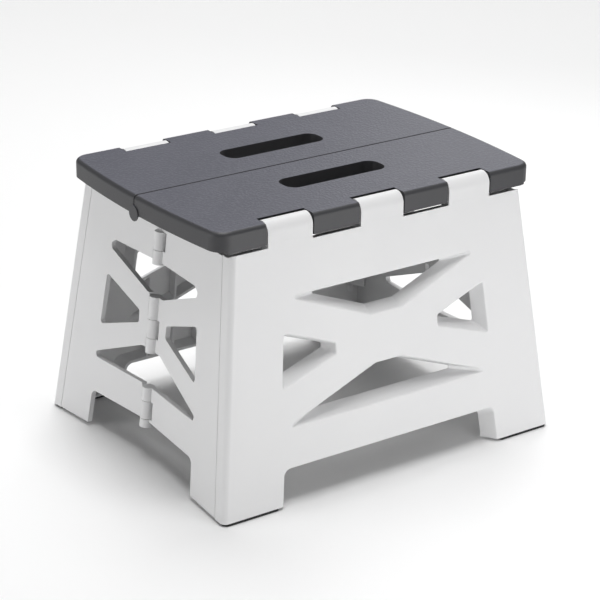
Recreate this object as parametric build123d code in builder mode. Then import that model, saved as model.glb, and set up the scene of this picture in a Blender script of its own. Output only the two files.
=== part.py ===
from build123d import *
import os
from math import atan2, cos, hypot, sin, tan

# Folding step stool. X runs along the seam of the top, Y from the front leg to the back leg, Z up.
# The front and left pieces are modelled; the back and right ones are their mirror images.

# Overall sizes, mm
HEIGHT = 220.0
SKIRT_HEIGHT = 16.5
HINGE_LEVEL = HEIGHT - SKIRT_HEIGHT
TOP_HALF_DEPTH = 105.5
FLOOR_HALF_DEPTH = 129.4
LEG_TOP_HALF_LENGTH = 135.7
LEG_FLOOR_HALF_LENGTH = 156.5
PAD_THICKNESS = 2.0
FAR = 400.0

# Fingers along the long edges, turning on the edge rods
FINGER_WIDTH = 41.6
FINGER_GAP = 1.1
FINGER_RADIUS = 8.3
NOTCH_RADIUS = 10.0
SWEEP_RADIUS = 13.0
EDGE_ROD_RADIUS = 2.0
EDGE_ROD_HALF_LENGTH = 128.0
EDGE_AXIS_Y = -(TOP_HALF_DEPTH - FINGER_RADIUS)
EDGE_AXIS_Z = HEIGHT - FINGER_RADIUS
PALE_FINGERS = [-2.0 * FINGER_WIDTH, 0.0, 2.0 * FINGER_WIDTH]
FINGER_ROOT_DEPTH = 8.5
FINGER_BACK_OFFSET = 3.6

# Fits
PRESS = 0.02
RUNNING = 0.06
LOOSE = 0.3

# Leg panel
LEAN = atan2(FLOOR_HALF_DEPTH - TOP_HALF_DEPTH, HINGE_LEVEL)
LEG_SKIN = 2.8
LEG_WALL = 2.6
LEG_RETURN_DEPTH = 12.5
LEG_RIB_DEPTH_TOP = 9.9
LEG_BLOCK_BOTTOM = -4.0
LEG_BLOCK_SPARE = 6.0
LEG_CORNER_RADIUS = 4.5
FOLD_ROOM_HALF_LENGTH = 130.0
LEG_TOP_EDGE = 201.2
LEG_RAIL_LEVEL = 196.5
GROOVE_FRONT = -102.9
GROOVE_BACK = -97.5
GROOVE_BOTTOM = 197.7
GROOVE_HALF_LENGTH = 128.0
LEG_RIB_WIDTH = 1.8
LEG_RIBS = [-75, -50, -25, 0, 25, 50, 75]
FOOT_SOLE = 5.5
# Openings of the leg panel: corners on the front face, anticlockwise, as (x, distance up the face).
# Each wall slants inwards with depth: by WALL_SLANT for every unit, but less where it faces down.
WALL_SLANT = 0.56
CEILING_SLANT = 0.27
OPENING_RADIUS = 1.4
OPENING_EDGE_RADIUS = 1.5
OPENING_OVERRUN = 0.5
UPPER_WINDOW = [(-14.5, 133.0), (14.5, 133.0), (89.0, 162.6), (-89.0, 162.6)]
LOWER_WINDOW = [(-98.5, 62.0), (98.5, 62.0), (12.0, 94.2), (-12.0, 94.2)]
RIGHT_WINDOW = [(48.2, 109.6), (98.2, 93.2), (94.0, 136.0), (48.2, 118.6)]
LEFT_WINDOW = [(-94.0, 136.0), (-98.2, 93.2), (-48.2, 109.6), (-48.2, 118.6)]
ARCH_RADIUS = 6.0
ARCH = [(-104.7, -6.0), (104.7, -6.0), (100.6, 30.6), (-100.6, 30.6)]
LEG_OPENINGS = [UPPER_WINDOW, LOWER_WINDOW, RIGHT_WINDOW, LEFT_WINDOW, ARCH]
PAD_OUTLINE = [(-156.1, -129.1), (-108.5, -129.1), (-101.5, -117.6), (-154.9, -117.6)]
PEG_X = 128.0
PEG_Y = -122.6
PEG_RADIUS = 2.5
PEG_HEIGHT = 3.0

# End panels
END_THICKNESS = 4.2
END_INWARD = 9.0
END_TOP = 198.5
END_SEAM_DEPTH = 13.0
CENTRE_GAP = 0.2
# Half of the left end, as (distance from the centre axis, distance up it), and its openings:
# half of each window that crosses the centre hinge, and the triangle beside it.
END_OUTLINE = [
    (CENTRE_GAP, 33.8),
    (74.5, 32.2),
    (77.5, 2.8),
    (130.0, 1.2),
    (130.0, END_TOP),
    (CENTRE_GAP, END_TOP),
]
END_UPPER_WINDOW = [(-12, 163.6), (57.5, 163.6), (62.5, 160.0), (61.5, 155.5), (11.0, 136.0), (-12, 136.0)]
END_SIDE_WINDOW = [(19.5, 118.2), (65.5, 134.3), (70.0, 90.0), (19.5, 108.0)]
END_LOWER_WINDOW = [(-12, 91.6), (13.0, 91.6), (73.0, 66.0), (72.0, 61.3), (-12, 62.0)]
END_WINDOW_RADIUS = 2.5
END_ARCH_RADIUS = 6.0
BARREL_RADIUS = 5.0
CENTRE_PIN_RADIUS = 1.6
BARREL_GAP = 0.2
NOTCH_HALF_WIDTH = 8.6
BACK_BARRELS = [(36.1, 50.4), (102.7, 117.5), (173.6, 188.0)]
FRONT_BARRELS = [(28.9, 35.7), (50.8, 61.9), (90.2, 102.3), (117.9, 135.9), (162.0, 173.2)]
CENTRE_PINS = {"lower": (29.5, 61.4), "middle": (91.0, 135.4), "upper": (162.5, 187.5)}

# Corner hinges, between a leg panel and an end panel
CORNER_AXIS_DEPTH = 4.6
CORNER_AXIS_INBOARD = 12.3923
CORNER_LUG_RADIUS = 2.75
CORNER_PIN_RADIUS = 1.25
CORNER_LUG_LENGTH = 10.0
LEG_LUG_LENGTH = 7.0
LUG_GAP = 0.3
LUG_FOOT = 3.2
# The arm from the end panel to its lug, across the corner axis, as (inboard, away from the leg's face)
CORNER_ARM = [(1.82, 1.24), (-1.82, -1.24), (-9.4, 9.95), (-5.8, 12.4)]
CORNER_SITES = {"lower": 50.0, "upper": 168.0}
CORNER_PIN_LENGTH = CORNER_LUG_LENGTH + 2 * LUG_GAP + 2 * LEG_LUG_LENGTH

# Top panels
TOP_SKIN = 3.0
TOP_WALL = 2.6
TOP_SKIRT_BOTTOM = HINGE_LEVEL + 0.2
TOP_END_AT_SEAM = 152.0
TOP_END_AT_CORNER = 147.0
TOP_CORNER_Y = 92.5
TOP_PLAN_RADIUS = 13.0
TOP_EDGE_RADIUS = 3.5
SEAM_GAP = 0.5
SEAM_EDGE_RADIUS = 0.5
SEAM_WALL_BOTTOM = 208.2
FINGER_POCKET_BACK = 88.0
MAIN_POCKET_FRONT = 85.3
SLOT_HALF_LENGTH = 46.0
SLOT_NEAR = 29.5
SLOT_FAR = 52.5
SLOT_RADIUS = 9.0
SLOT_WALL = 2.4
CHEEK = 3.0
CHEEK_DEPTH = 30.0
OUTER_CHEEK_X = 123.0
TOP_RIB_WIDTH = 1.8
TOP_RIBS_ACROSS = [-125, -95, -65, 65, 95, 125]
TOP_RIBS_ALONG = [20.0, 66.0]
SEAM_WALL_HALF_LENGTH = 149.2

# Centre hinge of the top
CENTRE_ROD_RADIUS = 1.6
CENTRE_ROD_HALF_LENGTH = 141.0
TOP_BARREL_RADIUS = 6.2
TOP_BLOCK_DEPTH = 11.0
BARREL_ROOM = 0.6
FRONT_TOP_BARRELS = [(-141.0, -134.0), (-34.0, -20.0), (20.0, 34.0), (134.0, 141.0)]
BACK_TOP_BARRELS = [(-119.0, -105.0), (-50.0, -36.0), (36.0, 50.0), (105.0, 119.0)]
END_CAP_THICKNESS = 0.7
END_CAP_RISE = 2.5
END_CAP_GAP = 0.12
CAP_TOP = HINGE_LEVEL + END_CAP_RISE + TOP_BARREL_RADIUS + 0.5
RELIEF_REACH = 8.0
# Positions of the rod in the hole of the back half's barrels while the stool folds, as (y, rise)
ROD_FLOAT = [(0.3, -0.3), (-3.2, 0.7), (-4.9, 3.0), (-4.5, 4.7), (-2.9, 5.1), (0.1, 2.2)]
END_SKIRT_RISE = 1.5
END_SKIRT_X = 139.0

os.makedirs("parts", exist_ok=True)

# ---------------------------------------------------------------- reference planes and axes

leg_plane = Plane(
    origin=(0, -FLOOR_HALF_DEPTH, 0),
    x_dir=(1, 0, 0),
    z_dir=(0, -cos(LEAN), sin(LEAN)),
)

corner_low = Vector(
    CORNER_AXIS_INBOARD - LEG_FLOOR_HALF_LENGTH,
    CORNER_AXIS_DEPTH - FLOOR_HALF_DEPTH,
    0,
)
corner_high = Vector(
    CORNER_AXIS_INBOARD - LEG_TOP_HALF_LENGTH,
    CORNER_AXIS_DEPTH - TOP_HALF_DEPTH,
    HINGE_LEVEL,
)
corner_dir = (corner_high - corner_low).normalized()

# The axes of the two corners and of the centre hinge of one end meet at the apex, so the end can fold.
apex = corner_low + corner_dir * (-corner_low.Y / corner_dir.Y)
centre_high = Vector(-(LEG_TOP_HALF_LENGTH - END_INWARD), 0, HINGE_LEVEL)
centre_dir = (apex - centre_high).normalized()
centre_low = centre_high - centre_dir * (centre_high.Z / centre_dir.Z)

# The outer face of the left end's front half holds the centre axis and the leg's outer corner.
corner_edge = Vector(
    -(LEG_TOP_HALF_LENGTH + LEG_FLOOR_HALF_LENGTH) / 2,
    -(TOP_HALF_DEPTH + FLOOR_HALF_DEPTH) / 2,
    HINGE_LEVEL / 2,
)
end_normal = (corner_edge - centre_high).cross(centre_dir).normalized()
end_plane = Plane(origin=centre_low, x_dir=end_normal.cross(centre_dir) * -1, z_dir=end_normal)
right_end_plane = Plane(
    origin=(-centre_low.X, 0, 0),
    x_dir=(0, 1, 0),
    z_dir=(-end_normal.X, end_normal.Y, end_normal.Z),
)


def corner_site(level):
    """Plane across the left front corner axis: x inboard, y away from the leg's outer face."""
    centre = corner_low + corner_dir * (level / corner_dir.Z)
    return Plane(origin=centre, x_dir=(leg_plane.z_dir * -1).cross(corner_dir), z_dir=corner_dir)


def export(part, name):
    part.label = name
    export_step(part, f"parts/{name}.step")


def mirrored(part, plane):
    with BuildPart() as image:
        add(part.mirror(plane))
    return image.part


def both_ends(part):
    return [part, part.mirror(Plane.YZ)]


def along_x(profile, start, end):
    """A side profile (y, z) swept along X between two stations."""
    with BuildPart() as bar:
        with BuildSketch(Plane.YZ.offset(start)):
            add(profile)
        extrude(amount=end - start)
    return bar.part


def polygon_profile(*corners):
    with BuildSketch() as face:
        Polygon(*corners, align=None)
    return face.sketch


def block_profile(y0, y1, z0, z1):
    return polygon_profile((y0, z0), (y1, z0), (y1, z1), (y0, z1))


# ---------------------------------------------------------------- leg panel


def leg_half_length(s):
    drop = (LEG_FLOOR_HALF_LENGTH - LEG_TOP_HALF_LENGTH) * s * cos(LEAN) / HINGE_LEVEL
    return LEG_FLOOR_HALF_LENGTH - drop


def leg_outline(top, bottom, extra):
    """Corner points of the panel's front face, between two levels up the face."""
    right = [(leg_half_length(bottom) + extra, bottom), (leg_half_length(top) + extra, top)]
    left = [(-x, s) for x, s in reversed(right)]
    return right + left


def inset(corners, steps):
    """Corners of the polygon whose edges lie inside the given one's, each by its own step."""
    lines = []
    for (x0, y0), (x1, y1), step in zip(corners, corners[1:] + corners[:1], steps):
        length = hypot(x1 - x0, y1 - y0)
        a = (y0 - y1) / length
        b = (x1 - x0) / length
        lines.append((a, b, a * x0 + b * y0 + step))
    result = []
    for (a, b, c), (d, e, f) in zip(lines[-1:] + lines[:-1], lines):
        scale = a * e - b * d
        result.append(((c * e - b * f) / scale, (a * f - c * d) / scale))
    return result


def slanted_opening(corners, margin):
    """The body of an opening whose walls slant inwards with depth, grown by a margin all round."""
    sections = []
    for depth in (-OPENING_OVERRUN, LEG_RETURN_DEPTH + OPENING_OVERRUN):
        steps = []
        for (x0, y0), (x1, y1) in zip(corners, corners[1:] + corners[:1]):
            faces_down = x1 < x0 and abs(x1 - x0) > abs(y1 - y0)
            steps.append(depth * (CEILING_SLANT if faces_down else WALL_SLANT) - margin)
        with BuildSketch(leg_plane.offset(-depth)) as section:
            Polygon(*inset(corners, steps), align=None)
            radius = ARCH_RADIUS if corners is ARCH else OPENING_RADIUS
            fillet(section.vertices(), radius + margin)
        sections.append(section.sketch)
    with BuildPart() as body:
        loft(sections, ruled=True)
    return body.part


def opening_edges(panel):
    """Front edges of the leg's windows, and of its arch above the floor."""
    on_front = panel.faces().filter_by(lambda f: abs(leg_plane.to_local_coords(f.center()).Z) < 0.05)
    front_face = on_front.sort_by(SortBy.AREA)[-1]
    edges = [edge for wire in front_face.inner_wires() for edge in wire.edges()]
    for edge in front_face.outer_wire().edges():
        middle = edge.center()
        in_arch = abs(middle.X) < ARCH[1][0] and PAD_THICKNESS + 1 < middle.Z < ARCH[2][1] + 1
        if in_arch:
            edges.append(edge)
    return edges


def leg_pocket():
    """The hollow behind the skin: between the walls, and divided by ribs."""
    with BuildSketch() as pocket:
        Polygon(*leg_outline(LEG_RAIL_LEVEL / cos(LEAN) + LEG_WALL, FOOT_SOLE - LEG_WALL, -1.0), align=None)
        offset(amount=-LEG_WALL, kind=Kind.INTERSECTION)
        for x in LEG_RIBS:
            with Locations((x, HEIGHT / 2)):
                Rectangle(LEG_RIB_WIDTH, HEIGHT, mode=Mode.SUBTRACT)
    return pocket.sketch


def leg_hollow():
    """What is cut from the back of the panel, clear of a wall round each opening."""
    with BuildPart() as hollow:
        with BuildSketch(leg_plane.offset(-LEG_SKIN)):
            add(leg_pocket())
        extrude(amount=-LEG_RETURN_DEPTH)
        for opening in LEG_OPENINGS:
            add(slanted_opening(opening, LEG_WALL), mode=Mode.SUBTRACT)
    return hollow.part


def finger_profile():
    """Side view of a pale finger: a barrel round the rod, running down into the panel's skin."""
    foot_level = LEG_RAIL_LEVEL + 0.5
    foot_y = -FLOOR_HALF_DEPTH + foot_level * tan(LEAN)
    with BuildSketch() as profile:
        with Locations((EDGE_AXIS_Y, EDGE_AXIS_Z)):
            Circle(FINGER_RADIUS)
        Polygon(
            (-TOP_HALF_DEPTH, EDGE_AXIS_Z),
            (-TOP_HALF_DEPTH, HINGE_LEVEL),
            (foot_y, foot_level),
            (foot_y + FINGER_ROOT_DEPTH, foot_level),
            (EDGE_AXIS_Y + FINGER_BACK_OFFSET, HINGE_LEVEL),
            (EDGE_AXIS_Y, EDGE_AXIS_Z),
            align=None,
        )
    return profile.sketch


def lug_on_leg(site_level, side):
    """One barrel on the skin that holds an end of a corner pin."""
    start = side * (CORNER_LUG_LENGTH / 2 + LUG_GAP)
    with BuildPart() as lug:
        with BuildSketch(corner_site(site_level).offset(start)):
            Circle(CORNER_LUG_RADIUS)
            with Locations((0, -LUG_FOOT / 2)):
                Rectangle(2 * CORNER_LUG_RADIUS, LUG_FOOT)
        extrude(amount=side * LEG_LUG_LENGTH)
    return lug.part


def corner_cylinder(site_level, radius, length):
    with BuildPart() as cylinder:
        with BuildSketch(corner_site(site_level)):
            Circle(radius)
        extrude(amount=length / 2, both=True)
    return cylinder.part


with BuildPart() as leg_panel_front:
    # Block with leaning ends and level feet
    with BuildSketch(leg_plane):
        Polygon(*leg_outline(LEG_TOP_EDGE / cos(LEAN), LEG_BLOCK_BOTTOM, LEG_BLOCK_SPARE), align=None)
    extrude(amount=-LEG_RETURN_DEPTH)
    split(bisect_by=end_plane, keep=Keep.BOTTOM)
    split(bisect_by=right_end_plane, keep=Keep.BOTTOM)
    split(bisect_by=Plane.XY.offset(PAD_THICKNESS), keep=Keep.TOP)
    front_edges = leg_panel_front.edges().filter_by(lambda e: e.length > 150 and abs(e.center().X) > 140)
    corners = [e for e in front_edges if abs(leg_plane.to_local_coords(e.center()).Z) < 0.1]
    fillet(corners, LEG_CORNER_RADIUS)
    # Room for the dark fingers to swing
    with BuildSketch(Plane.YZ):
        with Locations((EDGE_AXIS_Y, EDGE_AXIS_Z)):
            Circle(SWEEP_RADIUS)
    extrude(amount=FAR, both=True, mode=Mode.SUBTRACT)
    # A groove in the top rail, behind the skin
    groove = block_profile(GROOVE_FRONT, GROOVE_BACK, GROOVE_BOTTOM, HEIGHT)
    add(along_x(groove, -GROOVE_HALF_LENGTH, GROOVE_HALF_LENGTH), mode=Mode.SUBTRACT)
    # Hollow back, shallower towards the top so that the folded end panels fit behind it
    add(leg_hollow(), mode=Mode.SUBTRACT)
    with BuildSketch(Plane.YZ):
        floor_back = -FLOOR_HALF_DEPTH + LEG_RETURN_DEPTH / cos(LEAN)
        top_back = -TOP_HALF_DEPTH + LEG_RIB_DEPTH_TOP / cos(LEAN)
        Polygon((floor_back, 0), (top_back, HINGE_LEVEL), (top_back + 20, HINGE_LEVEL), align=None)
    extrude(amount=FOLD_ROOM_HALF_LENGTH, both=True, mode=Mode.SUBTRACT)
    # Four windows that leave an X-shaped brace, and the arch between the feet
    for opening in LEG_OPENINGS:
        add(slanted_opening(opening, 0), mode=Mode.SUBTRACT)
    fillet(opening_edges(leg_panel_front), OPENING_EDGE_RADIUS)
    # Pale fingers
    for x in PALE_FINGERS:
        with BuildSketch(Plane.YZ.offset(x)):
            add(finger_profile())
        extrude(amount=FINGER_WIDTH / 2 - FINGER_GAP, both=True)
    with BuildSketch(Plane.YZ):
        with Locations((EDGE_AXIS_Y, EDGE_AXIS_Z)):
            Circle(EDGE_ROD_RADIUS + PRESS)
    extrude(amount=FAR, both=True, mode=Mode.SUBTRACT)
    # Corner hinges
    for level in CORNER_SITES.values():
        relief = corner_cylinder(level, CORNER_LUG_RADIUS + LUG_GAP, CORNER_LUG_LENGTH + 2 * LUG_GAP)
        bore = corner_cylinder(level, CORNER_PIN_RADIUS + PRESS, CORNER_PIN_LENGTH)
        add(both_ends(relief), mode=Mode.SUBTRACT)
        for side in (-1, 1):
            add(both_ends(lug_on_leg(level, side)))
        add(both_ends(bore), mode=Mode.SUBTRACT)
    # Sockets for the pads' pegs
    with BuildSketch(Plane.XY):
        with Locations((-PEG_X, PEG_Y), (PEG_X, PEG_Y)):
            Circle(PEG_RADIUS + RUNNING)
    extrude(amount=PAD_THICKNESS + PEG_HEIGHT, mode=Mode.SUBTRACT)

# ---------------------------------------------------------------- end panels


def rounded_polygon(corners, radius):
    with BuildSketch() as window:
        Polygon(*corners, align=None)
        fillet(window.vertices(), radius)
    return window.sketch


def barrel(span, radius):
    """Cylinder round the left end's centre axis, between two levels along it."""
    low, high = span
    with BuildPart() as cylinder:
        with BuildSketch(Plane(origin=centre_low + centre_dir * low, z_dir=centre_dir)):
            Circle(radius)
        extrude(amount=high - low)
    return cylinder.part


def end_half(own_barrels, other_barrels, clearance):
    """The left end's front half: x runs from the centre axis to the leg, y runs up the axis."""
    with BuildPart() as half:
        with BuildSketch(end_plane) as half_outline:
            Polygon(*END_OUTLINE, align=None)
            fillet(half_outline.vertices().sort_by_distance(END_OUTLINE[1])[0], END_ARCH_RADIUS)
            for window in (END_UPPER_WINDOW, END_SIDE_WINDOW, END_LOWER_WINDOW):
                add(rounded_polygon(window, END_WINDOW_RADIUS), mode=Mode.SUBTRACT)
            for low, high in other_barrels:
                with Locations((0, (low + high) / 2)):
                    Rectangle(2 * NOTCH_HALF_WIDTH, high - low + 2 * BARREL_GAP, mode=Mode.SUBTRACT)
        extrude(amount=-END_THICKNESS)
        split(bisect_by=leg_plane.offset(-END_SEAM_DEPTH), keep=Keep.BOTTOM)
        for span in own_barrels:
            add(barrel(span, BARREL_RADIUS))
        for span in CENTRE_PINS.values():
            add(barrel(span, CENTRE_PIN_RADIUS + clearance), mode=Mode.SUBTRACT)
        for level in CORNER_SITES.values():
            with BuildSketch(corner_site(level)):
                Circle(CORNER_LUG_RADIUS)
                Polygon(*CORNER_ARM, align=None)
            extrude(amount=CORNER_LUG_LENGTH / 2, both=True)
            bore = corner_cylinder(level, CORNER_PIN_RADIUS + RUNNING, CORNER_PIN_LENGTH)
            add(bore, mode=Mode.SUBTRACT)
    return half.part


with BuildPart() as end_panel_left_front:
    add(end_half(FRONT_BARRELS, BACK_BARRELS, PRESS))
with BuildPart() as end_panel_left_back:
    add(end_half(BACK_BARRELS, FRONT_BARRELS, LOOSE).mirror(Plane.XZ))

# ---------------------------------------------------------------- top panels


def top_outline():
    """Plan of the front half, with bowed ends and rounded front corners."""
    bow = (TOP_END_AT_SEAM - TOP_END_AT_CORNER) / TOP_CORNER_Y**2
    middle = TOP_END_AT_SEAM - bow * (TOP_HALF_DEPTH / 2) ** 2
    corner = TOP_END_AT_SEAM - bow * TOP_HALF_DEPTH**2
    with BuildSketch() as outline:
        with BuildLine():
            Line((-TOP_END_AT_SEAM, -SEAM_GAP), (TOP_END_AT_SEAM, -SEAM_GAP))
            ThreePointArc(
                (TOP_END_AT_SEAM, -SEAM_GAP), (middle, -TOP_HALF_DEPTH / 2), (corner, -TOP_HALF_DEPTH)
            )
            Line((corner, -TOP_HALF_DEPTH), (-corner, -TOP_HALF_DEPTH))
            ThreePointArc(
                (-corner, -TOP_HALF_DEPTH), (-middle, -TOP_HALF_DEPTH / 2), (-TOP_END_AT_SEAM, -SEAM_GAP)
            )
        make_face()
        fillet(outline.vertices().group_by(Axis.Y)[0], TOP_PLAN_RADIUS)
    return outline.sketch


def hand_slot(margin):
    with BuildSketch() as slot:
        with Locations((0, -(SLOT_NEAR + SLOT_FAR) / 2)):
            RectangleRounded(
                2 * (SLOT_HALF_LENGTH + margin), SLOT_FAR - SLOT_NEAR + 2 * margin, SLOT_RADIUS + margin
            )
    return slot.sketch


def strip(back, front):
    """Plan of the front half inside its walls, cut down to a band between two depths."""
    with BuildSketch() as band:
        add(top_outline())
        offset(amount=-TOP_WALL, kind=Kind.INTERSECTION)
        with Locations((0, -(back + front) / 2)):
            Rectangle(FAR, front - back, mode=Mode.INTERSECT)
    return band.sketch


def main_pocket():
    with BuildSketch() as pocket:
        add(strip(SEAM_GAP + TOP_WALL, MAIN_POCKET_FRONT))
        add(hand_slot(SLOT_WALL), mode=Mode.SUBTRACT)
        for x in TOP_RIBS_ACROSS:
            with Locations((x, -TOP_HALF_DEPTH / 2)):
                Rectangle(TOP_RIB_WIDTH, TOP_HALF_DEPTH, mode=Mode.SUBTRACT)
        for y in TOP_RIBS_ALONG:
            with Locations((0, -y)):
                Rectangle(FAR, TOP_RIB_WIDTH, mode=Mode.SUBTRACT)
    return pocket.sketch


def finger_pockets():
    with BuildSketch() as pockets:
        add(strip(FINGER_POCKET_BACK, TOP_HALF_DEPTH))
        for x in PALE_FINGERS:
            with Locations((x, -TOP_HALF_DEPTH)):
                Rectangle(FINGER_WIDTH + 2 * CHEEK, 2 * CHEEK_DEPTH, mode=Mode.SUBTRACT)
        for x in (-OUTER_CHEEK_X, OUTER_CHEEK_X):
            with Locations((x, -TOP_HALF_DEPTH)):
                Rectangle(CHEEK, 2 * CHEEK_DEPTH, mode=Mode.SUBTRACT)
    return pockets.sketch


def disc_profile(y, z, radius):
    with BuildSketch() as disc:
        with Locations((y, z)):
            Circle(radius)
    return disc.sketch


def float_window():
    """Hole in the back half's barrels: the rod shifts inwards and up in it while the stool is half folded."""
    with BuildSketch() as window:
        with Locations((0, HINGE_LEVEL)):
            Polygon(*ROD_FLOAT, align=None)
        offset(amount=CENTRE_ROD_RADIUS + LOOSE)
    return window.sketch


def top_half(own_barrels, other_barrels, rod_hole):
    """One half of the top, in the front position."""
    under_skin = HEIGHT - TOP_SKIN
    skirt_plane = Plane.XY.offset(TOP_SKIRT_BOTTOM)
    with BuildPart() as half:
        with BuildSketch(skirt_plane):
            add(top_outline())
        extrude(amount=HEIGHT - TOP_SKIRT_BOTTOM)
        rim = half.edges().group_by(Axis.Z)[-1].filter_by(lambda e: e.center().Y < -1)
        fillet(rim, TOP_EDGE_RADIUS)
        seam_edge = half.edges().group_by(Axis.Z)[-1].sort_by(Axis.Y)[-1]
        fillet(seam_edge, SEAM_EDGE_RADIUS)
        with BuildSketch(skirt_plane):
            add(main_pocket())
            add(finger_pockets())
        extrude(amount=under_skin - TOP_SKIRT_BOTTOM, mode=Mode.SUBTRACT)
        with BuildSketch(skirt_plane):
            add(hand_slot(0))
        extrude(amount=FAR, mode=Mode.SUBTRACT)
        # The end skirts are a little shorter than the front one
        with BuildSketch(skirt_plane):
            Rectangle(FAR, FAR)
            Rectangle(2 * END_SKIRT_X, FAR, mode=Mode.SUBTRACT)
        extrude(amount=END_SKIRT_RISE, mode=Mode.SUBTRACT)
        # Notches for the pale fingers, round the edge axis
        for x in PALE_FINGERS:
            half_width = FINGER_WIDTH / 2
            notch = disc_profile(EDGE_AXIS_Y, EDGE_AXIS_Z, NOTCH_RADIUS)
            mouth = block_profile(-TOP_HALF_DEPTH - 5, EDGE_AXIS_Y, HINGE_LEVEL - 5, HEIGHT + 5)
            add(along_x(notch, x - half_width, x + half_width), mode=Mode.SUBTRACT)
            add(along_x(mouth, x - half_width, x + half_width), mode=Mode.SUBTRACT)
        rod = disc_profile(EDGE_AXIS_Y, EDGE_AXIS_Z, EDGE_ROD_RADIUS + RUNNING)
        add(along_x(rod, -EDGE_ROD_HALF_LENGTH, EDGE_ROD_HALF_LENGTH), mode=Mode.SUBTRACT)
        # The seam wall stops short of the centre axis, and opens up for the other half's barrels
        low_seam = block_profile(-SEAM_GAP - TOP_WALL - 0.1, 1, HINGE_LEVEL - 5, SEAM_WALL_BOTTOM)
        add(along_x(low_seam, -SEAM_WALL_HALF_LENGTH, SEAM_WALL_HALF_LENGTH), mode=Mode.SUBTRACT)
        room = block_profile(-TOP_BLOCK_DEPTH - BARREL_ROOM, 1, HINGE_LEVEL - 5, SEAM_WALL_BOTTOM + 7)
        for low, high in other_barrels:
            add(along_x(room, low - BARREL_ROOM, high + BARREL_ROOM), mode=Mode.SUBTRACT)
        block = block_profile(-TOP_BLOCK_DEPTH, -SEAM_GAP, TOP_SKIRT_BOTTOM, under_skin + 0.5)
        for low, high in own_barrels:
            add(along_x(block, low, high))
            add(along_x(disc_profile(0, HINGE_LEVEL, TOP_BARREL_RADIUS), low, high))
        add(along_x(rod_hole, -CENTRE_ROD_HALF_LENGTH, CENTRE_ROD_HALF_LENGTH), mode=Mode.SUBTRACT)
    return half.part


def end_relief():
    """What is cut from the end skirts beside the centre axis, so the halves pass each other while folding."""
    profile = polygon_profile(
        (RELIEF_REACH, HINGE_LEVEL - RELIEF_REACH),
        (1 - RELIEF_REACH, HINGE_LEVEL - RELIEF_REACH),
        (1 - RELIEF_REACH, TOP_SKIRT_BOTTOM),
        (-0.4, SEAM_WALL_BOTTOM + 0.2),
        (-0.4, CAP_TOP),
        (RELIEF_REACH, CAP_TOP),
    )
    return along_x(profile, SEAM_WALL_HALF_LENGTH, TOP_END_AT_SEAM + END_CAP_GAP)


centre_bore = disc_profile(0, HINGE_LEVEL, CENTRE_ROD_RADIUS + PRESS)
with BuildPart() as top_panel_front:
    add(top_half(FRONT_TOP_BARRELS, BACK_TOP_BARRELS, centre_bore))
    cap = disc_profile(0, HINGE_LEVEL + END_CAP_RISE, TOP_BARREL_RADIUS)
    cap_outer = TOP_END_AT_SEAM + END_CAP_GAP + END_CAP_THICKNESS
    add(both_ends(along_x(cap, TOP_END_AT_SEAM - 2, cap_outer)))
    add(both_ends(end_relief()), mode=Mode.SUBTRACT)

with BuildPart() as top_panel_back_in_front:
    add(top_half(BACK_TOP_BARRELS, FRONT_TOP_BARRELS, float_window()))
    add(both_ends(end_relief()), mode=Mode.SUBTRACT)

# ---------------------------------------------------------------- pads, rods and pins

with BuildPart() as foot_pad:
    with BuildSketch(Plane.XY) as sole:
        Polygon(*PAD_OUTLINE, align=None)
        fillet(sole.vertices().sort_by(Axis.X)[0], LEG_CORNER_RADIUS)
    extrude(amount=PAD_THICKNESS)
    with BuildSketch(Plane.XY):
        with Locations((-PEG_X, PEG_Y)):
            Circle(PEG_RADIUS)
    extrude(amount=PAD_THICKNESS + PEG_HEIGHT)


def rod_along_x(y, z, radius, half_length):
    return along_x(disc_profile(y, z, radius), -half_length, half_length)


def export_left_and_right(part, name):
    """The part is on the left; its mirror image is on the right."""
    export(part, name.format("left"))
    export(mirrored(part, Plane.YZ), name.format("right"))


export(leg_panel_front.part, "leg_panel_front")
export(mirrored(leg_panel_front.part, Plane.XZ), "leg_panel_back")
export(top_panel_front.part, "top_panel_front")
export(mirrored(top_panel_back_in_front.part, Plane.XZ), "top_panel_back")
export_left_and_right(end_panel_left_front.part, "end_panel_{}_front")
export_left_and_right(end_panel_left_back.part, "end_panel_{}_back")
export_left_and_right(foot_pad.part, "foot_pad_front_{}")
export_left_and_right(mirrored(foot_pad.part, Plane.XZ), "foot_pad_back_{}")

edge_rod = rod_along_x(EDGE_AXIS_Y, EDGE_AXIS_Z, EDGE_ROD_RADIUS, EDGE_ROD_HALF_LENGTH)
export(edge_rod, "edge_rod_front")
export(mirrored(edge_rod, Plane.XZ), "edge_rod_back")
export(rod_along_x(0, HINGE_LEVEL, CENTRE_ROD_RADIUS, CENTRE_ROD_HALF_LENGTH), "centre_rod")

for place, span in CENTRE_PINS.items():
    export_left_and_right(barrel(span, CENTRE_PIN_RADIUS), "centre_pin_{}_" + place)
for place, level in CORNER_SITES.items():
    pin = corner_cylinder(level, CORNER_PIN_RADIUS, CORNER_PIN_LENGTH)
    export_left_and_right(pin, "corner_pin_front_{}_" + place)
    export_left_and_right(mirrored(pin, Plane.XZ), "corner_pin_back_{}_" + place)
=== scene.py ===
"""Folding step stool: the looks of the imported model, a pale studio and the camera."""
import math

import bpy
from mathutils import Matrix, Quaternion, Vector


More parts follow.
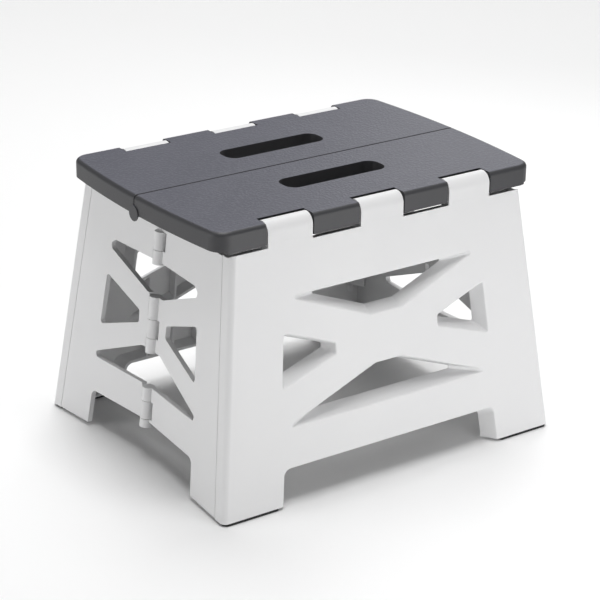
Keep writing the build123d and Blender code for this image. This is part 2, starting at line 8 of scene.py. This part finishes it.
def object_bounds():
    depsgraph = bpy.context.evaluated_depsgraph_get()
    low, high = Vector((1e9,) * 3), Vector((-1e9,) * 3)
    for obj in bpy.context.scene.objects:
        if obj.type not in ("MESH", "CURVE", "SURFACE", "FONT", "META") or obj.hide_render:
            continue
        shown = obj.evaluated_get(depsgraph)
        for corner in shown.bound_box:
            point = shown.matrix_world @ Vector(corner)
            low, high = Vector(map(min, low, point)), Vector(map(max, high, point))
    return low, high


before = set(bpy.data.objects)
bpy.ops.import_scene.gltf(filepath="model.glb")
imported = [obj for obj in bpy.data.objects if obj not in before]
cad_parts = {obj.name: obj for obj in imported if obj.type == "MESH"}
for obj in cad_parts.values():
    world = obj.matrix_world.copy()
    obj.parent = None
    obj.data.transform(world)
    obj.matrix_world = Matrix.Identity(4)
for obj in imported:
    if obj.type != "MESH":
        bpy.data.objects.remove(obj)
cad_low, cad_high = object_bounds()
centre = (cad_low + cad_high) / 2

# Camera: angles in degrees, distances in metres, lens and sensor in millimetres
CAMERA_AZIMUTH = -35.2
CAMERA_ELEVATION = 22.4
CAMERA_DISTANCE = 1.7326
CAMERA_ROLL = 0.69
CAMERA_LENS = 128.5
CAMERA_SENSOR = 36.0
CAMERA_AIM = Vector((0.0091, 0.0126, 0.0950))

# Studio sweep, in metres; it lies a hair below the stool's feet
FLOOR_SIZE = 12.0
FLOOR_DROP = 0.0002
FLOOR_WHITE = (0.93, 0.93, 0.93)
WALL_DISTANCE = 4.0
SWEEP_RADIUS = 1.5
SWEEP_STEPS = 16
SKY_STRENGTH = 0.06

# Finishes, as linear colours
PLASTIC_IOR = 1.49
RUBBER_IOR = 1.5
PALE = (0.80, 0.80, 0.803)
PALE_SHADE = (0.785, 0.785, 0.790)
SLATE = (0.046, 0.046, 0.050)
# The tread's colours are painted lighter than SLATE on the sides: a painted lit top, which
# also holds the tread's real worn patches and pebble grain
SLATE_TREAD_LIT = (0.086, 0.088, 0.112)
SLATE_GRAIN_LIT = (0.102, 0.104, 0.130)
SLATE_WORN_LIT = (0.078, 0.080, 0.103)
RUBBER = (0.012, 0.012, 0.013)
RUBBER_WORN = (0.026, 0.026, 0.027)
STEEL = (0.56, 0.57, 0.58)
STEEL_DULL = (0.40, 0.41, 0.42)

# The tread's pebbles per metre, and how far their outlines wander in metres
PEBBLE_SCALE = 430.0
PEBBLE_WANDER = 0.0022

# The upright part of a surface normal at which the tread's grain and its painted lighter
# colour begin and are full
TREAD_BEGINS = 0.9
TREAD_FULL = 0.995


# ---------------------------------------------------------------- shader helpers


class Shader:
    """A node material with a Principled shader, and short ways to add nodes to it."""

    def __init__(self, name):
        self.material = bpy.data.materials.new(name)
        self.material.use_nodes = True
        self.tree = self.material.node_tree
        self.tree.nodes.clear()
        self.output = self.node("ShaderNodeOutputMaterial")
        self.surface = self.node("ShaderNodeBsdfPrincipled")
        self.link(self.surface.outputs["BSDF"], self.output.inputs["Surface"])
        self.coords = self.node("ShaderNodeTexCoord")

    def node(self, kind, **settings):
        made = self.tree.nodes.new(kind)
        for key, value in settings.items():
            setattr(made, key, value)
        return made

    def link(self, source, target):
        self.tree.links.new(source, target)

    def noise(self, scale, detail=3.0, roughness=0.5, stretch=(1, 1, 1)):
        """Noise on the piece's own coordinates, which are metres; scale is bumps per metre."""
        mapping = self.node("ShaderNodeMapping")
        mapping.inputs["Scale"].default_value = stretch
        self.link(self.coords.outputs["Object"], mapping.inputs["Vector"])
        noise = self.node("ShaderNodeTexNoise")
        noise.inputs["Scale"].default_value = scale
        noise.inputs["Detail"].default_value = detail
        noise.inputs["Roughness"].default_value = roughness
        self.link(mapping.outputs["Vector"], noise.inputs["Vector"])
        return noise.outputs["Fac"]

    def remap(self, value, low, high, out_low, out_high):
        """Takes low to high smoothly to out_low to out_high."""
        made = self.node("ShaderNodeMapRange", interpolation_type="SMOOTHSTEP")
        limits = {"From Min": low, "From Max": high, "To Min": out_low, "To Max": out_high}
        for name, number in limits.items():
            made.inputs[name].default_value = number
        self.link(value, made.inputs["Value"])
        return made.outputs["Result"]

    def math(self, operation, first, second):
        made = self.node("ShaderNodeMath", operation=operation)
        for socket, value in zip(made.inputs, (first, second)):
            if isinstance(value, (int, float)):
                socket.default_value = value
            else:
                self.link(value, socket)
        return made.outputs["Value"]

    def blend(self, share, first, second):
        """Colour that goes from first to second as share goes from 0 to 1."""
        made = self.node("ShaderNodeMix", data_type="RGBA")
        self.link(share, made.inputs["Factor"])
        for socket, value in ((made.inputs["A"], first), (made.inputs["B"], second)):
            if isinstance(value, tuple):
                socket.default_value = (*value, 1)
            else:
                self.link(value, socket)
        return made.outputs["Result"]

    def upward(self):
        """1 where the piece's own surface faces up at rest, 0 on its sides."""
        normal = self.node("ShaderNodeSeparateXYZ")
        self.link(self.coords.outputs["Normal"], normal.inputs["Vector"])
        return self.remap(normal.outputs["Z"], TREAD_BEGINS, TREAD_FULL, 0, 1)

    def bump(self, height, distance, strength, below=None):
        """Bump up to distance metres high, on top of the bump that below gives."""
        made = self.node("ShaderNodeBump")
        made.inputs["Strength"].default_value = strength
        made.inputs["Distance"].default_value = distance
        self.link(height, made.inputs["Height"])
        if below is not None:
            self.link(below, made.inputs["Normal"])
        return made.outputs["Normal"]

    def set(self, **sockets):
        """Fills the Principled shader's sockets, with numbers, colours or links."""
        for name, value in sockets.items():
            socket = self.surface.inputs[name.replace("_", " ")]
            if isinstance(value, tuple):
                socket.default_value = (*value, 1)
            elif isinstance(value, (int, float)):
                socket.default_value = value
            else:
                self.link(value, socket)


# ---------------------------------------------------------------- materials


def pale_plastic():
    """Light grey moulded polypropylene: satin, finely etched, with faint flow marks."""
    s = Shader("pale_plastic")
    flow = s.noise(9.0, detail=2.0, stretch=(1.0, 1.0, 0.45))
    etch = s.noise(2600.0, detail=2.0, roughness=0.6)
    wave = s.noise(45.0, detail=1.0)
    s.set(
        Base_Color=s.blend(s.remap(flow, 0.35, 0.65, 0, 1), PALE, PALE_SHADE),
        Roughness=s.remap(etch, 0.3, 0.7, 0.36, 0.50),
        Normal=s.bump(etch, 0.00004, 0.5, below=s.bump(wave, 0.0006, 0.12)),
        IOR=PLASTIC_IOR,
    )
    return s.material


def slate_plastic():
    """Slate grey moulded plastic, with an anti-slip grain on the tread, painted lighter there
    as a lit top, and satin edges.
    """
    s = Shader("slate_plastic")
    warp = s.noise(500.0, detail=2.0)
    spread = s.node("ShaderNodeVectorMath", operation="SCALE")
    s.link(warp, spread.inputs["Vector"])
    spread.inputs["Scale"].default_value = PEBBLE_WANDER
    shifted = s.node("ShaderNodeVectorMath", operation="ADD")
    s.link(s.coords.outputs["Object"], shifted.inputs[0])
    s.link(spread.outputs["Vector"], shifted.inputs[1])
    cells = s.node("ShaderNodeTexVoronoi", feature="SMOOTH_F1")
    cells.inputs["Scale"].default_value = PEBBLE_SCALE
    cells.inputs["Smoothness"].default_value = 0.6
    s.link(shifted.outputs["Vector"], cells.inputs["Vector"])
    pebble = s.remap(cells.outputs["Distance"], 0.15, 0.65, 1, 0)
    tread = s.upward()
    grain = s.math("MULTIPLY", pebble, tread)
    etch = s.noise(2400.0, detail=2.0, roughness=0.6)
    cloud = s.noise(22.0, detail=4.0, roughness=0.6)
    # The tread's worn patches and pebble speckle, all painted lighter than the sides as
    # painted light on the top
    worn = s.blend(s.remap(cloud, 0.3, 0.7, 0, 1), SLATE_WORN_LIT, SLATE_TREAD_LIT)
    speckled = s.blend(s.remap(pebble, 0.2, 0.9, 0, 0.6), worn, SLATE_GRAIN_LIT)
    s.set(
        Base_Color=s.blend(tread, SLATE, speckled),
        Roughness=s.remap(etch, 0.3, 0.7, 0.42, 0.54),
        Normal=s.bump(grain, 0.00025, 0.7, below=s.bump(etch, 0.00003, 0.4)),
        IOR=PLASTIC_IOR,
    )
    return s.material


def black_rubber():
    """Matt black rubber of the feet, with dust in patches."""
    s = Shader("black_rubber")
    dust = s.noise(160.0, detail=5.0, roughness=0.65)
    skin = s.noise(1500.0, detail=2.0)
    s.set(
        Base_Color=s.blend(s.remap(dust, 0.4, 0.75, 0, 1), RUBBER, RUBBER_WORN),
        Roughness=s.remap(dust, 0.3, 0.7, 0.72, 0.88),
        Normal=s.bump(skin, 0.0001, 0.5),
        IOR=RUBBER_IOR,
    )
    return s.material


def drawn_steel():
    """Zinc-plated rod, with drawing marks along it."""
    s = Shader("steel")
    marks = s.noise(900.0, detail=4.0, stretch=(0.04, 1.0, 1.0))
    haze = s.noise(70.0, detail=3.0)
    s.set(
        Base_Color=s.blend(s.remap(haze, 0.35, 0.65, 0, 1), STEEL, STEEL_DULL),
        Metallic=1.0,
        Roughness=s.remap(marks, 0.3, 0.7, 0.26, 0.42),
        Normal=s.bump(marks, 0.00002, 0.4),
    )
    return s.material


FINISHES = {
    "pale_plastic": pale_plastic(),
    "slate_plastic": slate_plastic(),
    "black_rubber": black_rubber(),
    "steel": drawn_steel(),
}


def finish_of(node):
    """The record's material slot for a node, by the kind of piece it is."""
    if node.startswith("top_panel"):
        return "slate_plastic"
    if node.startswith("foot_pad"):
        return "black_rubber"
    if "rod" in node or "pin" in node:
        return "steel"
    return "pale_plastic"


for name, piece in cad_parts.items():
    slot = finish_of(name)
    piece.data.materials.clear()
    piece.data.materials.append(FINISHES[slot])


# ---------------------------------------------------------------- studio


def direction(azimuth, elevation):
    """From the stool outwards: azimuth 0 is in front of it, 90 is on its right."""
    a = math.radians(azimuth)
    e = math.radians(elevation)
    return Vector((math.sin(a) * math.cos(e), -math.cos(a) * math.cos(e), math.sin(e)))


def facing(outwards):
    """The turn that makes a lamp or camera look back along a direction, at the stool."""
    return (-outwards).to_track_quat("-Z", "Y")


def floor():
    """A white sweep: a flat floor that curves up into a wall behind the stool."""
    profile = [(-FLOOR_SIZE / 2, 0.0)]
    for i in range(SWEEP_STEPS + 1):
        turn = math.pi / 2 * i / SWEEP_STEPS
        away = WALL_DISTANCE + SWEEP_RADIUS * math.sin(turn)
        profile.append((away, SWEEP_RADIUS * (1 - math.cos(turn))))
    profile.append((WALL_DISTANCE + SWEEP_RADIUS, FLOOR_SIZE / 2))
    back = -direction(CAMERA_AZIMUTH, 0)
    side = Vector((back.y, -back.x, 0))
    points = []
    for away, height in profile:
        for reach in (-FLOOR_SIZE / 2, FLOOR_SIZE / 2):
            points.append(back * away + side * reach + Vector((0, 0, height - FLOOR_DROP)))
    faces = [(2 * i, 2 * i + 1, 2 * i + 3, 2 * i + 2) for i in range(len(profile) - 1)]
    mesh = bpy.data.meshes.new("floor")
    mesh.from_pydata(points, [], faces)
    mesh.polygons.foreach_set("use_smooth", [True] * len(mesh.polygons))
    sweep = bpy.data.objects.new("floor", mesh)
    bpy.context.scene.collection.objects.link(sweep)
    s = Shader("studio_floor")
    s.set(Base_Color=FLOOR_WHITE, Roughness=0.9)
    mesh.materials.append(s.material)


def area_light(name, azimuth, elevation, distance, size, power):
    """A square soft light that faces the stool: degrees, metres and watts."""
    outwards = direction(azimuth, elevation)
    data = bpy.data.lights.new(name, "AREA")
    data.shape = "SQUARE"
    data.size = size
    data.energy = power
    lamp = bpy.data.objects.new(name, data)
    lamp.location = centre + outwards * distance
    lamp.rotation_mode = "QUATERNION"
    lamp.rotation_quaternion = facing(outwards)
    bpy.context.scene.collection.objects.link(lamp)


def sky():
    """A faint, even white light from everywhere."""
    world = bpy.data.worlds.new("studio")
    world.use_nodes = True
    background = world.node_tree.nodes["Background"]
    background.inputs["Color"].default_value = (1, 1, 1, 1)
    background.inputs["Strength"].default_value = SKY_STRENGTH
    bpy.context.scene.world = world


def camera():
    """A long lens from the front left, a little above the top."""
    outwards = direction(CAMERA_AZIMUTH, CAMERA_ELEVATION)
    data = bpy.data.cameras.new("camera")
    data.sensor_width = CAMERA_SENSOR
    data.lens = CAMERA_LENS
    made = bpy.data.objects.new("camera", data)
    made.location = CAMERA_AIM + outwards * CAMERA_DISTANCE
    made.rotation_mode = "QUATERNION"
    roll = Quaternion((0, 0, 1), math.radians(CAMERA_ROLL))
    made.rotation_quaternion = facing(outwards) @ roll
    bpy.context.scene.collection.objects.link(made)
    bpy.context.scene.camera = made


floor()
area_light("overhead", 0, 85, 4.0, 2.2, 104)
area_light("overhead_back", 150, 62, 4.0, 2.2, 62)
area_light("front", 6, 8, 2.6, 1.4, 7.2)
area_light("front_low", 14, -4, 0.7, 0.3, 1.5)
area_light("left", -108, 8, 2.6, 1.4, 22)
area_light("rim", 127, 30, 0.9, 0.4, 0.75)
sky()
camera()
bpy.context.scene.view_settings.view_transform = "Standard"
